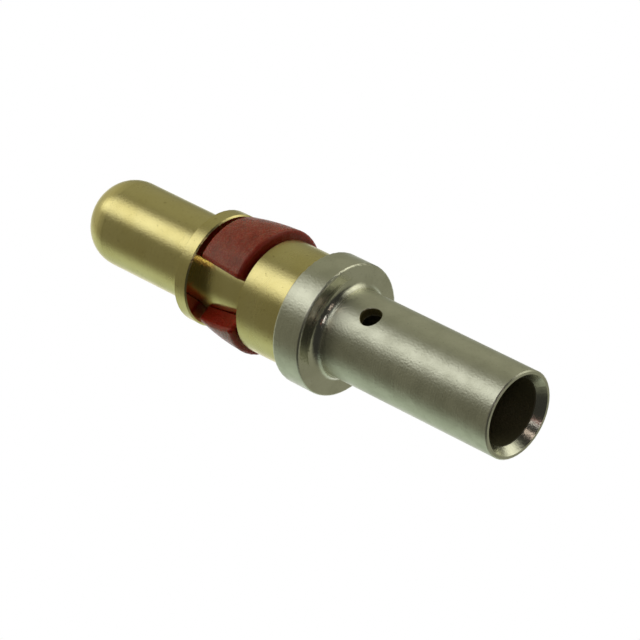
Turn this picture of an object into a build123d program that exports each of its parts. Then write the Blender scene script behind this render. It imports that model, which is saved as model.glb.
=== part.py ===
from build123d import *
from math import cos, radians, sin, tan
import os

os.makedirs("parts", exist_ok=True)

# A crimp power contact, standing on its crimp mouth, in millimetres.
# +Z runs up the contact from the mouth to the nose, and the inspection hole faces -Y.

# Crimp barrel and its flange, one turned piece
barrel_d = 3.62
barrel_length = 8.77            # from the mouth to the flange
flange_d = 5.46
flange_thickness = 1.38
bore_d = 2.78                   # takes the stripped wire
bore_depth = 7.95               # full diameter, from the mouth
drill_point_angle = 118
mouth_countersink_width = 0.26  # how far it opens the bore, at the rim
mouth_countersink_depth = 0.34
mouth_edge_break = 0.05
root_fillet = 0.38              # where the barrel meets the flange
flange_edge_r = 0.10
inspection_hole_d = 0.87
inspection_hole_z = 6.94
hole_edge_break = 0.03

# Contact pin: sleeve, neck, collar, pin and nose, one turned piece
pin_d = 3.60
pin_length = 6.18               # from the collar to the tip
nose_r = 1.48
collar_d = 4.70
collar_length = 0.66
neck_d = 3.22
neck_length = 2.66
sleeve_d = 4.70
sleeve_length = 2.43
collar_edge_break = 0.06
sleeve_edge_break = 0.13        # leads the contact into its cavity

# Press joint between the two turned pieces
spigot_d = 2.60
spigot_length = 1.05
spigot_lead = 0.15
socket_end_gap = 0.10

# Retention clip, a moulded split ring round the neck
clip_front_d = 4.64
clip_rear_d = 5.26
clip_bulge = 0.06               # how far its outside stands out from a straight cone, half-way along
clip_front_gap = 0.24           # to the collar
clip_rear_gap = 0.07            # to the sleeve
clip_play = 0.08                # radial, between its bore and the neck
clip_touch_gap = 0.02           # what is left of the play on the side that it leans to
clip_lean_angle = -18           # the way it has slid off centre, from +X towards +Y
clip_grip_length = 0.75         # straight part of its bore, at the front
clip_bore_flare = 0.06          # how far the bore has opened out at the rear
clip_edge_r = 0.15              # rounding of its outside, at both ends and along the gap
clip_gap_angle = -147           # the way the rear end of its gap faces
clip_gap_turn = -9              # from there to the front end
clip_gap_rear_opening = 48      # degrees between the gap's two faces
clip_gap_front_opening = 73

# Heights that follow from the lengths
flange_front_z = barrel_length + flange_thickness
sleeve_front_z = flange_front_z + sleeve_length
collar_rear_z = sleeve_front_z + neck_length
collar_front_z = collar_rear_z + collar_length
tip_z = collar_front_z + pin_length


# Crimp barrel with its flange
with BuildPart() as crimp_barrel:
    with BuildSketch(Plane.XZ):
        with BuildLine():
            Polyline(
                (0, 0),
                (barrel_d / 2, 0),
                (barrel_d / 2, barrel_length),
                (flange_d / 2, barrel_length),
                (flange_d / 2, flange_front_z),
                (0, flange_front_z),
                close=True,
            )
        make_face()
    revolve(axis=Axis.Z)

    # The drilled bore ends in the drill's cone
    drill_point_z = bore_depth + bore_d / 2 / tan(radians(drill_point_angle / 2))
    with BuildSketch(Plane.XZ):
        with BuildLine():
            Polyline((0, 0), (bore_d / 2, 0), (bore_d / 2, bore_depth), (0, drill_point_z), close=True)
        make_face()
    revolve(axis=Axis.Z, mode=Mode.SUBTRACT)

    # The socket in the flange takes the pin's spigot
    with BuildSketch(Plane.XY.offset(flange_front_z)):
        Circle(spigot_d / 2)
    extrude(amount=-(spigot_length + socket_end_gap), mode=Mode.SUBTRACT)

    mouth_edges = crimp_barrel.edges().group_by(Axis.Z)[0].sort_by(SortBy.RADIUS)
    chamfer(mouth_edges[0], length=mouth_countersink_width, length2=mouth_countersink_depth)
    chamfer(mouth_edges[-1], length=mouth_edge_break)

    flange_rear_edges = crimp_barrel.edges().filter_by_position(Axis.Z, barrel_length, barrel_length)
    flange_rear_edges = flange_rear_edges.sort_by(SortBy.RADIUS)
    flange_front_edge = crimp_barrel.edges().group_by(Axis.Z)[-1].sort_by(SortBy.RADIUS)[-1]
    fillet(flange_rear_edges[0], radius=root_fillet)
    fillet([flange_rear_edges[-1], flange_front_edge], radius=flange_edge_r)

    # The inspection hole shows whether the wire has gone all the way in
    hole_face = Plane(origin=(0, -barrel_d / 2, inspection_hole_z), z_dir=(0, -1, 0))
    with Locations(hole_face):
        Hole(radius=inspection_hole_d / 2, depth=barrel_d / 2)
    hole_rim = crimp_barrel.edges(Select.LAST).sort_by(Axis.Y)[0]
    chamfer(hole_rim, length=hole_edge_break)
crimp_barrel.part.label = "crimp_barrel"

# Contact pin
with BuildPart() as contact_pin:
    with BuildSketch(Plane.XZ):
        with BuildLine():
            Polyline(
                (0, tip_z),
                (0, flange_front_z - spigot_length),
                (spigot_d / 2, flange_front_z - spigot_length),
                (spigot_d / 2, flange_front_z),
                (sleeve_d / 2, flange_front_z),
                (sleeve_d / 2, sleeve_front_z),
                (neck_d / 2, sleeve_front_z),
                (neck_d / 2, collar_rear_z),
                (collar_d / 2, collar_rear_z),
                (collar_d / 2, collar_front_z),
                (pin_d / 2, collar_front_z),
                (pin_d / 2, tip_z),
                close=True,
            )
        make_face()
    revolve(axis=Axis.Z)

    nose_edge = contact_pin.edges().group_by(Axis.Z)[-1]
    fillet(nose_edge, radius=nose_r)
    spigot_edge = contact_pin.edges().group_by(Axis.Z)[0]
    chamfer(spigot_edge, length=spigot_lead)
    collar_edges = []
    for edge_z in (collar_rear_z, collar_front_z):
        ring_edges = contact_pin.edges().filter_by_position(Axis.Z, edge_z, edge_z)
        collar_edges.append(ring_edges.sort_by(SortBy.RADIUS)[-1])
    chamfer(collar_edges, length=collar_edge_break)
    sleeve_edges = contact_pin.edges().filter_by_position(Axis.Z, sleeve_front_z, sleeve_front_z)
    chamfer(sleeve_edges.sort_by(SortBy.RADIUS)[-1], length=sleeve_edge_break)
contact_pin.part.label = "contact_pin"

# Retention clip: a bulging cone outside, a straight grip and a flare inside, and one gap
clip_rear_z = sleeve_front_z + clip_rear_gap
clip_front_z = collar_rear_z - clip_front_gap
clip_middle_z = (clip_rear_z + clip_front_z) / 2
clip_middle_r = (clip_rear_d + clip_front_d) / 4 + clip_bulge
clip_bore_r = neck_d / 2 + clip_play
clip_shift = clip_play - clip_touch_gap
clip_x = clip_shift * cos(radians(clip_lean_angle))
clip_y = clip_shift * sin(radians(clip_lean_angle))
gap_x = cos(radians(clip_gap_angle))
gap_y = sin(radians(clip_gap_angle))
# The section is drawn in the middle of the gap and swept round from there
clip_section = Plane(origin=(clip_x, clip_y, 0), x_dir=(gap_x, gap_y, 0), z_dir=(gap_y, -gap_x, 0))

with BuildPart() as retention_clip:
    with BuildSketch(clip_section) as clip_profile:
        with BuildLine():
            Polyline(
                (clip_front_d / 2, clip_front_z),
                (clip_bore_r, clip_front_z),
                (clip_bore_r, clip_front_z - clip_grip_length),
                (clip_bore_r + clip_bore_flare, clip_rear_z),
                (clip_rear_d / 2, clip_rear_z),
            )
            ThreePointArc(
                (clip_rear_d / 2, clip_rear_z),
                (clip_middle_r, clip_middle_z),
                (clip_front_d / 2, clip_front_z),
            )
        make_face()
        fillet(clip_profile.vertices().sort_by(Axis.X)[-2:], radius=clip_edge_r)
    revolve(axis=Axis(origin=(clip_x, clip_y, 0), direction=(0, 0, 1)))

    # Both faces of the gap point at the clip's axis all the way along, so a twisted wedge cuts it,
    # as long as the clip is wide
    wedge_ends = (
        (clip_rear_z, clip_gap_angle, clip_gap_rear_opening),
        (clip_front_z, clip_gap_angle + clip_gap_turn, clip_gap_front_opening),
    )
    for wedge_z, wedge_angle, wedge_opening in wedge_ends:
        with BuildSketch(Plane(origin=(clip_x, clip_y, wedge_z), x_dir=(1, 0, 0), z_dir=(0, 0, 1))):
            with BuildLine():
                first_side = PolarLine((0, 0), clip_rear_d, wedge_angle - wedge_opening / 2)
                second_side = PolarLine((0, 0), clip_rear_d, wedge_angle + wedge_opening / 2)
                Line(first_side @ 1, second_side @ 1)
            make_face()
    loft(ruled=True, mode=Mode.SUBTRACT)
    clip_outside = retention_clip.faces().sort_by(SortBy.AREA)[-1]
    gap_edges = clip_outside.edges().sort_by(SortBy.LENGTH)[:2]
    fillet(gap_edges, radius=clip_edge_r)
retention_clip.part.label = "retention_clip"

export_step(crimp_barrel.part, "parts/crimp_barrel.step")
export_step(contact_pin.part, "parts/contact_pin.step")
export_step(retention_clip.part, "parts/retention_clip.step")
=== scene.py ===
import bpy
import math
from mathutils import Matrix, Vector

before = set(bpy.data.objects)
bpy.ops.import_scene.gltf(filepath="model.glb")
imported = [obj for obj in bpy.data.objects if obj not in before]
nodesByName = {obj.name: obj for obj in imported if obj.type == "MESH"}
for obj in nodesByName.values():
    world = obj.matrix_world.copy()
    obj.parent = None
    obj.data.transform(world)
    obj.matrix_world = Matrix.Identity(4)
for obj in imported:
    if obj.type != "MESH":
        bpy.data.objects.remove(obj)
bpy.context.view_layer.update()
scene = bpy.context.scene
print("contact loaded:", sorted(nodesByName))


# Shader helpers. A value may be a number, a colour or another node's socket
def addNode(tree, kind, settings=None, values=None):
    node = tree.nodes.new(kind)
    for name, value in (settings or {}).items():
        setattr(node, name, value)
    for name, value in (values or {}).items():
        if isinstance(value, bpy.types.NodeSocket):
            tree.links.new(value, node.inputs[name])
        else:
            node.inputs[name].default_value = value
    return node


def mathNode(tree, operation, *values):
    settings = {"operation": operation}
    return addNode(tree, "ShaderNodeMath", settings, dict(enumerate(values))).outputs[0]


def vectorMath(tree, operation, *values):
    settings = {"operation": operation}
    return addNode(tree, "ShaderNodeVectorMath", settings, dict(enumerate(values))).outputs


def smoothStep(tree, value, low, high, outLow=0.0, outHigh=1.0):
    values = {"Value": value, "From Min": low, "From Max": high, "To Min": outLow, "To Max": outHigh}
    settings = {"interpolation_type": "SMOOTHSTEP"}
    return addNode(tree, "ShaderNodeMapRange", settings, values).outputs["Result"]


def fadeOut(tree, value, low, high):
    return smoothStep(tree, value, low, high, 1.0, 0.0)


def mixColour(tree, factor, first, second, blend="MIX"):
    mixer = addNode(tree, "ShaderNodeMix", {"data_type": "RGBA", "blend_type": blend})
    for socket, value in ((0, factor), (6, first), (7, second)):  # 6 and 7 are the colour sockets
        if isinstance(value, bpy.types.NodeSocket):
            tree.links.new(value, mixer.inputs[socket])
        elif socket == 0:
            mixer.inputs[socket].default_value = value
        else:
            mixer.inputs[socket].default_value = (*value, 1.0)
    return mixer.outputs[2]


def noise(tree, place, size, detail, roughness):
    values = {"Vector": place, "Scale": 1.0 / size, "Detail": detail, "Roughness": roughness}
    return addNode(tree, "ShaderNodeTexNoise", values=values).outputs["Fac"]


# The same along one line
def waves(tree, path, pitch, detail, roughness):
    values = {"W": path, "Scale": 1.0 / pitch, "Detail": detail, "Roughness": roughness}
    return addNode(tree, "ShaderNodeTexNoise", {"noise_dimensions": "1D"}, values).outputs["Fac"]


def newMaterial(name):
    material = bpy.data.materials.new(name)
    material.use_nodes = True
    tree = material.node_tree
    shader = tree.nodes["Principled BSDF"]
    place = addNode(tree, "ShaderNodeTexCoord").outputs["Object"]
    return material, tree, shader, place


# Distance from the upright axis, and height
def radiusAndHeight(tree, place):
    xyz = addNode(tree, "ShaderNodeSeparateXYZ", values={"Vector": place}).outputs
    flat = addNode(tree, "ShaderNodeCombineXYZ", values={"X": xyz[0], "Y": xyz[1]}).outputs[0]
    return vectorMath(tree, "LENGTH", flat)["Value"], xyz[2]


# The marks that both metals have: how fine each pattern is, and where it starts and is full
latheMarks = {
    "rings": {"detail": 2.0, "roughness": 0.7},
    "bands": {"detail": 1.0, "roughness": 0.5},
    "clouds": {"detail": 4.0, "roughness": 0.6},
    "grain": {"detail": 2.0, "roughness": 0.6},
    "cloudTone": (0.35, 0.7),
    "specks": (0.62, 0.75),
    "sheenTurn": 0.25,  # the sheen runs along the contact
}


def turnedMetal(name, metal):
    material, tree, shader, place = newMaterial(name)
    radius, height = radiusAndHeight(tree, place)
    path = mathNode(tree, "ADD", radius, height)  # the turning tool's way, up sides and over faces

    # Fine rings left by the lathe, slower waves of finish, clouds of colour, and grain
    rings = waves(tree, path, metal["ringPitch"], **latheMarks["rings"])
    bands = waves(tree, path, metal["bandPitch"], **latheMarks["bands"])
    clouds = noise(tree, place, metal["cloudSize"], **latheMarks["clouds"])
    grain = noise(tree, place, metal["grainSize"], **latheMarks["grain"])

    tone = smoothStep(tree, clouds, *latheMarks["cloudTone"])
    colour = mixColour(tree, tone, metal["colour"], metal["cloudColour"])
    specks = smoothStep(tree, grain, *latheMarks["specks"], 0.0, metal["speckle"])
    colour = mixColour(tree, specks, colour, metal["speckColour"])
    bright = 1.0
    # Inside the bore and the hole the colour is painted shade, and the metal is made dull there
    for mask, shadeColour in metal["insides"](tree, metal, place, radius, height):
        colour = mixColour(tree, mask, colour, shadeColour)
        dull = mathNode(tree, "MULTIPLY_ADD", mask, -metal["insideDullness"], 1.0)
        bright = mathNode(tree, "MULTIPLY", bright, dull)
    tree.links.new(colour, shader.inputs["Base Color"])
    if isinstance(bright, bpy.types.NodeSocket):
        tree.links.new(bright, shader.inputs["Metallic"])
    else:
        shader.inputs["Metallic"].default_value = bright

    rough = mathNode(tree, "MULTIPLY_ADD", bands, metal["bandRoughness"], metal["roughness"])
    rough = mathNode(tree, "MULTIPLY_ADD", clouds, metal["cloudRoughness"], rough)

    # Faces that look back towards the mouth are smoother than the sides
    normal = addNode(tree, "ShaderNodeNewGeometry").outputs["Normal"]
    upright = addNode(tree, "ShaderNodeSeparateXYZ", values={"Vector": normal}).outputs[2]
    downward = mathNode(tree, "MULTIPLY", upright, -1.0)
    faced = metal["rearFaces"]
    facing = smoothStep(tree, downward, faced["start"], faced["full"], 1.0, faced["share"])
    facing = metal["roughEdges"](tree, metal, radius, height, facing)
    rough = mathNode(tree, "MULTIPLY", rough, facing)
    rough = mathNode(tree, "MULTIPLY", rough, metal["wornShare"](tree, metal, height))
    tree.links.new(rough, shader.inputs["Roughness"])

    relief = mathNode(tree, "MULTIPLY_ADD", grain, metal["grainShare"], rings)
    strength = mathNode(tree, "MULTIPLY", facing, metal["bumpStrength"])
    bumpValues = {"Strength": strength, "Distance": metal["bumpDepth"], "Height": relief}
    bump = addNode(tree, "ShaderNodeBump", values=bumpValues)
    tree.links.new(bump.outputs["Normal"], shader.inputs["Normal"])
    tangent = addNode(tree, "ShaderNodeTangent", {"direction_type": "RADIAL", "axis": "Z"})
    tree.links.new(tangent.outputs["Tangent"], shader.inputs["Tangent"])
    shader.inputs["Anisotropic"].default_value = metal["brushing"]
    shader.inputs["Anisotropic Rotation"].default_value = latheMarks["sheenTurn"]
    return material


# A piece with no bore, no rough edges and the same wear all over
def noInsides(tree, metal, place, radius, height):
    return []


def noRoughEdges(tree, metal, radius, height, facing):
    return facing


def sameAllOver(tree, metal, height):
    return 1.0


contactPin = {
    "colour": (0.79, 0.69, 0.32),
    "cloudColour": (0.75, 0.645, 0.275),
    "speckColour": (0.52, 0.43, 0.18),
    "speckle": 0.8,
    "roughness": 0.15,
    "bandRoughness": 0.08,
    "cloudRoughness": 0.12,
    "brushing": 0.6,
    "rearFaces": {"start": 0.75, "full": 0.97, "share": 0.2},
    "ringPitch": 0.00007,
    "bandPitch": 0.0009,
    "cloudSize": 0.0011,
    "grainSize": 0.00011,
    "grainShare": 1.6,
    "bumpStrength": 0.55,
    "bumpDepth": 0.000005,
    "insides": noInsides,
    "roughEdges": noRoughEdges,
    "wornShare": sameAllOver,
}


# The bore and the inspection hole's wall are dull, and their colour is darkened with painted shade
# of the recess
def boreShade(tree, metal, place, radius, height):
    bore, hole = metal["bore"], metal["inspectionHole"]
    inWall = fadeOut(tree, radius, *bore["wall"])
    pastMouth = smoothStep(tree, height, *bore["mouth"])
    inside = mathNode(tree, "MULTIPLY", inWall, pastMouth)
    inside = mathNode(tree, "MULTIPLY", inside, fadeOut(tree, height, *bore["bottom"]))

    # The hole runs along Y, so its wall is found by the distance from a line through its middle
    centred = vectorMath(tree, "SUBTRACT", place, (0.0, 0.0, hole["height"]))[0]
    across = vectorMath(tree, "MULTIPLY", centred, (1.0, 0.0, 1.0))[0]
    away = vectorMath(tree, "LENGTH", across)["Value"]
    inHole = fadeOut(tree, away, *hole["wall"])
    inHole = mathNode(tree, "MULTIPLY", inHole, mathNode(tree, "SUBTRACT", 1.0, inWall))
    alongHole = addNode(tree, "ShaderNodeSeparateXYZ", values={"Vector": place}).outputs[1]
    holeSide = mathNode(tree, "LESS_THAN", alongHole, 0.0)
    inHole = mathNode(tree, "MULTIPLY", inHole, holeSide)
    # Both colours are painted shade of the recess
    return [(inside, bore["colour"]), (inHole, hole["colour"])]


# The mouth's rim and the flange's rounded edge are as rough as the sides
def barrelEdges(tree, metal, radius, height, facing):
    rims = metal["rims"]
    onRim = smoothStep(tree, radius, *rims["mouthRadius"])
    onRim = mathNode(tree, "MULTIPLY", onRim, fadeOut(tree, height, *rims["mouthHeight"]))
    onFlange = smoothStep(tree, radius, *rims["flangeRadius"])
    edge = mathNode(tree, "MAXIMUM", onRim, onFlange)
    return mathNode(tree, "MULTIPLY_ADD", mathNode(tree, "SUBTRACT", 1.0, facing), edge, facing)


# The barrel is more matt than the flange, and the fillet at its root is smoother
def barrelShare(tree, metal, height):
    side, fillet = metal["side"], metal["rootFillet"]
    onSide = fadeOut(tree, height, *side["top"])
    share = mathNode(tree, "MULTIPLY_ADD", onSide, side["roughShare"] - 1.0, 1.0)
    pastSide = smoothStep(tree, height, *fillet["start"])
    onFillet = mathNode(tree, "MULTIPLY", pastSide, fadeOut(tree, height, *fillet["end"]))
    smoother = mathNode(tree, "MULTIPLY_ADD", onFillet, fillet["roughShare"] - 1.0, 1.0)
    return mathNode(tree, "MULTIPLY", share, smoother)


# Pairs are where a change begins and ends: radii from the axis, and heights above the mouth
crimpBarrel = {
    "colour": (0.68, 0.68, 0.56),
    "cloudColour": (0.59, 0.59, 0.475),
    "speckColour": (0.40, 0.40, 0.33),
    "speckle": 0.6,
    "roughness": 0.23,
    "bandRoughness": 0.07,
    "cloudRoughness": 0.13,
    "brushing": 0.55,
    "rearFaces": {"start": 0.50, "full": 0.60, "share": 0.55},
    "ringPitch": 0.00009,
    "bandPitch": 0.0011,
    "cloudSize": 0.0009,
    "grainSize": 0.00009,
    "grainShare": 2.0,
    "bumpStrength": 0.75,
    "bumpDepth": 0.000007,
    # The bore's and the hole's colours are painted shade of the recess
    "bore": {
        "colour": (0.13, 0.12, 0.065),
        "wall": (0.00141, 0.00147),
        "mouth": (0.00030, 0.00042),
        "bottom": (0.0091, 0.0092),
    },
    "inspectionHole": {
        "colour": (0.13, 0.11, 0.04),
        "height": 0.00694,
        "wall": (0.000440, 0.000465),
    },
    "insideDullness": 0.75,
    "rims": {
        "mouthRadius": (0.00164, 0.00168),
        "mouthHeight": (0.00028, 0.00032),
        "flangeRadius": (0.00259, 0.00263),
    },
    "side": {"top": (0.0081, 0.0085), "roughShare": 1.15},
    "rootFillet": {"start": (0.00832, 0.00848), "end": (0.00875, 0.00881), "roughShare": 0.65},
    "insides": boreShade,
    "roughEdges": barrelEdges,
    "wornShare": barrelShare,
}

retentionClip = {
    "colour": (0.20, 0.0155, 0.006),
    "paleColour": (0.255, 0.036, 0.018),
    "darkColour": (0.15, 0.009, 0.0035),
    # deeper red on the rounded edges, ends and gap faces: painted shade
    "shadedEdgeColour": (0.20, 0.006, 0.002),
    "mottle": {"size": 0.00035, "detail": 5.0, "roughness": 0.65},
    "paleMottle": (0.45, 0.68),
    "darkMottle": (0.30, 0.45),
    "grain": {"size": 0.00008, "detail": 2.0, "roughness": 0.6},
    "roughness": 0.19,
    "grainRoughness": 0.16,
    "edgeRoughness": 0.10,
    "subsurface": 0.8,
    "subsurfaceRadius": (1.0, 0.08, 0.03),
    "subsurfaceScale": 0.0005,
    "specularTint": (1.0, 0.95, 0.75),
    "mottleShare": 3.0,
    "bumpStrength": 0.8,
    "bumpDepth": 0.000020,
    "axis": (0.0000571, -0.0000185, 0.0),
    "rear": {"height": 0.01265, "radius": 0.00263},
    "front": {"height": 0.01500, "radius": 0.00232},
    "bulge": 0.00006,
    "rounding": (0.000012, 0.00006),  # how far inside the bulging cone it begins and is full
}


# 1 where the clip's outside is rounded off, on its ends and in its gap, and 0 on its cone
def clipEdges(tree, place, plastic):
    rear, front = plastic["rear"], plastic["front"]
    centred = vectorMath(tree, "SUBTRACT", place, plastic["axis"])[0]
    radius, height = radiusAndHeight(tree, centred)
    length = front["height"] - rear["height"]
    along = mathNode(tree, "MULTIPLY_ADD", height, 1.0 / length, -rear["height"] / length)
    taper = front["radius"] - rear["radius"]
    cone = mathNode(tree, "MULTIPLY_ADD", along, taper, rear["radius"])
    arch = mathNode(tree, "MULTIPLY", along, mathNode(tree, "SUBTRACT", 1.0, along))
    archShare = 4.0 * plastic["bulge"]  # the arch is a quarter high half-way along
    outside = mathNode(tree, "MULTIPLY_ADD", arch, archShare, cone)
    inwards = mathNode(tree, "SUBTRACT", outside, radius)
    return smoothStep(tree, inwards, *plastic["rounding"])


def mouldedPlastic(name, plastic):
    material, tree, shader, place = newMaterial(name)
    mottle = noise(tree, place, **plastic["mottle"])
    grain = noise(tree, place, **plastic["grain"])
    edges = clipEdges(tree, place, plastic)
    pale = smoothStep(tree, mottle, *plastic["paleMottle"])
    colour = mixColour(tree, pale, plastic["colour"], plastic["paleColour"])
    dark = fadeOut(tree, mottle, *plastic["darkMottle"])
    colour = mixColour(tree, dark, colour, plastic["darkColour"])
    # The rounded edges, ends and gap faces get a deeper red: painted shade there
    colour = mixColour(tree, edges, colour, plastic["shadedEdgeColour"])
    tree.links.new(colour, shader.inputs["Base Color"])

    rough = mathNode(tree, "MULTIPLY_ADD", grain, plastic["grainRoughness"], plastic["roughness"])
    rough = mathNode(tree, "MULTIPLY_ADD", edges, plastic["edgeRoughness"], rough)
    tree.links.new(rough, shader.inputs["Roughness"])
    relief = mathNode(tree, "MULTIPLY_ADD", mottle, plastic["mottleShare"], grain)
    strength, depth = plastic["bumpStrength"], plastic["bumpDepth"]
    bumpValues = {"Strength": strength, "Distance": depth, "Height": relief}
    bump = addNode(tree, "ShaderNodeBump", values=bumpValues)
    tree.links.new(bump.outputs["Normal"], shader.inputs["Normal"])

    shader.inputs["Subsurface Weight"].default_value = plastic["subsurface"]
    shader.inputs["Subsurface Radius"].default_value = plastic["subsurfaceRadius"]
    shader.inputs["Subsurface Scale"].default_value = plastic["subsurfaceScale"]
    shader.inputs["Specular Tint"].default_value = (*plastic["specularTint"], 1.0)
    return material


def dress(nodeName, material):
    for slot in nodesByName[nodeName].material_slots:
        slot.link = "OBJECT"
        slot.material = material


dress("contact_pin", turnedMetal("goldPlate", contactPin))
dress("crimp_barrel", turnedMetal("nickelPlate", crimpBarrel))
dress("retention_clip", mouldedPlastic("redPlastic", retentionClip))
print("metals and plastic dressed")


# As the camera stood for the photograph: below the mouth's level, looking up along the contact
photoCamera = {
    "sensorWidth": 36.0,
    "focal": 233.554,
    "clipStart": 0.005,
    "clipEnd": 20.0,
    "place": (-0.0627006, -0.1128971, -0.0847292),
    "right": (0.6464897, 0.2477937, -0.7215604),
    "up": (0.6552938, -0.6646911, 0.3588535),
}


def addCamera(setup):
    lens = bpy.data.cameras.new("photoCamera")
    lens.sensor_width = setup["sensorWidth"]
    lens.lens = setup["focal"]
    lens.clip_start = setup["clipStart"]
    lens.clip_end = setup["clipEnd"]
    lens.dof.use_dof = False
    camera = bpy.data.objects.new("photoCamera", lens)
    scene.collection.objects.link(camera)
    right, up = Vector(setup["right"]), Vector(setup["up"])
    turn = Matrix((right, up, right.cross(up))).transposed().to_4x4()
    camera.matrix_world = Matrix.Translation(setup["place"]) @ turn
    scene.camera = camera


addCamera(photoCamera)
print("camera placed")


# A soft-edged card in the world, in degrees: its middle, round from +X, and its lowest and
# highest angle up from the floor. softSides and softEnds are how wide its edges fade
def card(azimuth, halfWidth, softSides, low, high, softEnds, light=None):
    return {"azimuth": azimuth, "halfWidth": halfWidth, "softSides": softSides, "low": low,
            "high": high, "softEnds": softEnds, "light": light}


# The studio: a dim room with soft cards, and the white backdrop behind the contact
studio = {
    "room": (0.040, 0.039, 0.036),
    "diffuseLift": 2.6,
    "cards": {
        "walls": card(0.0, 200.0, 10.0, 14.0, 120.0, 36.0, (0.125, 0.120, 0.078)),
        "rightWall": card(-20.0, 42.0, 34.0, 14.0, 66.0, 30.0, (0.12, 0.125, 0.0882)),
        "ceiling": card(0.0, 200.0, 10.0, 55.0, 120.0, 34.0, (0.29, 0.29, 0.235)),
        "farSide": card(61.0, 75.0, 50.0, -120.0, 8.0, 30.0, (0.25, 0.25, 0.185)),
        "softBox": card(-99.0, 21.0, 30.0, 2.0, 72.0, 26.0, (0.98, 1.0, 0.974)),
        "sweep": card(94.0, 56.0, 40.0, -6.0, 64.0, 26.0, (0.36, 0.44, 0.378)),
        "sideCard": card(-20.0, 22.0, 36.0, -30.0, 10.0, 16.0, (1.15, 1.14, 0.98)),
        # Small and low: they show in the countersink, on the root fillet and in the corners
        "lowCard": card(-85.0, 6.0, 6.0, -42.0, -34.0, 5.0, (2.3, 1.85, 1.75)),
        "flash": card(-119.0, 5.0, 4.0, -38.0, -26.0, 5.0, (2.9, 2.75, 2.85)),
        "redCard": card(-127.0, 5.0, 4.0, -46.0, -38.0, 5.0, (0.62, 0.28, 0.26)),
    },
    "backdrop": card(66.0, 24.0, 22.0, -4.0, 60.0, 20.0),
}


def lightWorld(setup):
    world = bpy.data.worlds.new("studio")
    scene.world = world
    world.use_nodes = True
    tree = world.node_tree
    tree.nodes.clear()
    direction = addNode(tree, "ShaderNodeTexCoord").outputs["Generated"]
    xyz = addNode(tree, "ShaderNodeSeparateXYZ", values={"Vector": direction}).outputs
    azimuth = mathNode(tree, "DEGREES", mathNode(tree, "ARCTAN2", xyz[1], xyz[0]))
    elevation = mathNode(tree, "DEGREES", mathNode(tree, "ARCSINE", xyz[2]))

    def cardShape(shape):
        away = mathNode(tree, "SUBTRACT", azimuth, shape["azimuth"])
        away = mathNode(tree, "ABSOLUTE", mathNode(tree, "WRAP", away, 180.0, -180.0))
        half, sides, ends = shape["halfWidth"], shape["softSides"] / 2, shape["softEnds"] / 2
        across = fadeOut(tree, away, half - sides, half + sides)
        above = smoothStep(tree, elevation, shape["low"] - ends, shape["low"] + ends)
        below = fadeOut(tree, elevation, shape["high"] - ends, shape["high"] + ends)
        return mathNode(tree, "MULTIPLY", mathNode(tree, "MULTIPLY", across, above), below)

    total = setup["room"]
    for shape in setup["cards"].values():
        glow = mixColour(tree, cardShape(shape), (0.0, 0.0, 0.0), shape["light"])
        total = mixColour(tree, 1.0, total, glow, "ADD")

    # Rough plastic is lit from all the room, and the metals show it darker
    rays = addNode(tree, "ShaderNodeLightPath").outputs
    liftMore = setup["diffuseLift"] - 1.0
    lift = mathNode(tree, "MULTIPLY_ADD", rays["Is Diffuse Ray"], liftMore, 1.0)
    scaleValues = {"Vector": total, "Scale": lift}
    lifted = addNode(tree, "ShaderNodeVectorMath", {"operation": "SCALE"}, scaleValues).outputs[0]

    # The camera sees white all round, and metal mirrors the white that stands behind the contact
    mirrored = mathNode(tree, "MAXIMUM", rays["Is Glossy Ray"], rays["Is Transmission Ray"])
    mirrored = mathNode(tree, "MULTIPLY", mirrored, cardShape(setup["backdrop"]))
    seen = mathNode(tree, "MAXIMUM", rays["Is Camera Ray"], mirrored)
    shown = mixColour(tree, seen, lifted, (1.0, 1.0, 1.0))
    background = addNode(tree, "ShaderNodeBackground", values={"Color": shown})
    output = addNode(tree, "ShaderNodeOutputWorld")
    tree.links.new(background.outputs[0], output.inputs["Surface"])


lightWorld(studio)
scene.view_settings.view_transform = "Standard"
print("studio lit")


# The floor: seen from above only, so that it doesn't hide the contact from a camera below it
floorPaper = {
    "radius": 0.25,
    "sides": 64,
    "drop": 0.00001,  # below the mouth's rim
    "fade": (0.10, 0.245),
    "albedo": (0.83, 0.81, 0.96),
    "glow": 0.09,
}


def layFloor(setup):
    mesh = bpy.data.meshes.new("floor")
    sides, radius = setup["sides"], setup["radius"]
    turns = [2 * math.pi * i / sides for i in range(sides)]
    rim = [(radius * math.cos(turn), radius * math.sin(turn), -setup["drop"]) for turn in turns]
    mesh.from_pydata(rim, [], [tuple(range(sides))])
    floor = bpy.data.objects.new("floor", mesh)
    scene.collection.objects.link(floor)

    material, tree, shader, place = newMaterial("floorPaper")
    tree.nodes.remove(shader)
    away, _ = radiusAndHeight(tree, place)
    paper = addNode(tree, "ShaderNodeBsdfDiffuse", values={"Color": (*setup["albedo"], 1.0)})
    lift = addNode(tree, "ShaderNodeEmission", values={"Strength": setup["glow"]})
    topValues = {0: paper.outputs[0], 1: lift.outputs[0]}
    top = addNode(tree, "ShaderNodeAddShader", values=topValues)
    clear = addNode(tree, "ShaderNodeBsdfTransparent")
    nearBy = fadeOut(tree, away, *setup["fade"])
    backfacing = addNode(tree, "ShaderNodeNewGeometry").outputs["Backfacing"]
    fromAbove = mathNode(tree, "SUBTRACT", 1.0, backfacing)
    cameraRay = addNode(tree, "ShaderNodeLightPath").outputs["Is Camera Ray"]
    shown = mathNode(tree, "MULTIPLY", mathNode(tree, "MULTIPLY", nearBy, fromAbove), cameraRay)
    surfaceValues = {0: shown, 1: clear.outputs[0], 2: top.outputs[0]}
    surface = addNode(tree, "ShaderNodeMixShader", values=surfaceValues)
    tree.links.new(surface.outputs[0], tree.nodes["Material Output"].inputs["Surface"])
    mesh.materials.append(material)


layFloor(floorPaper)
print("floor laid")
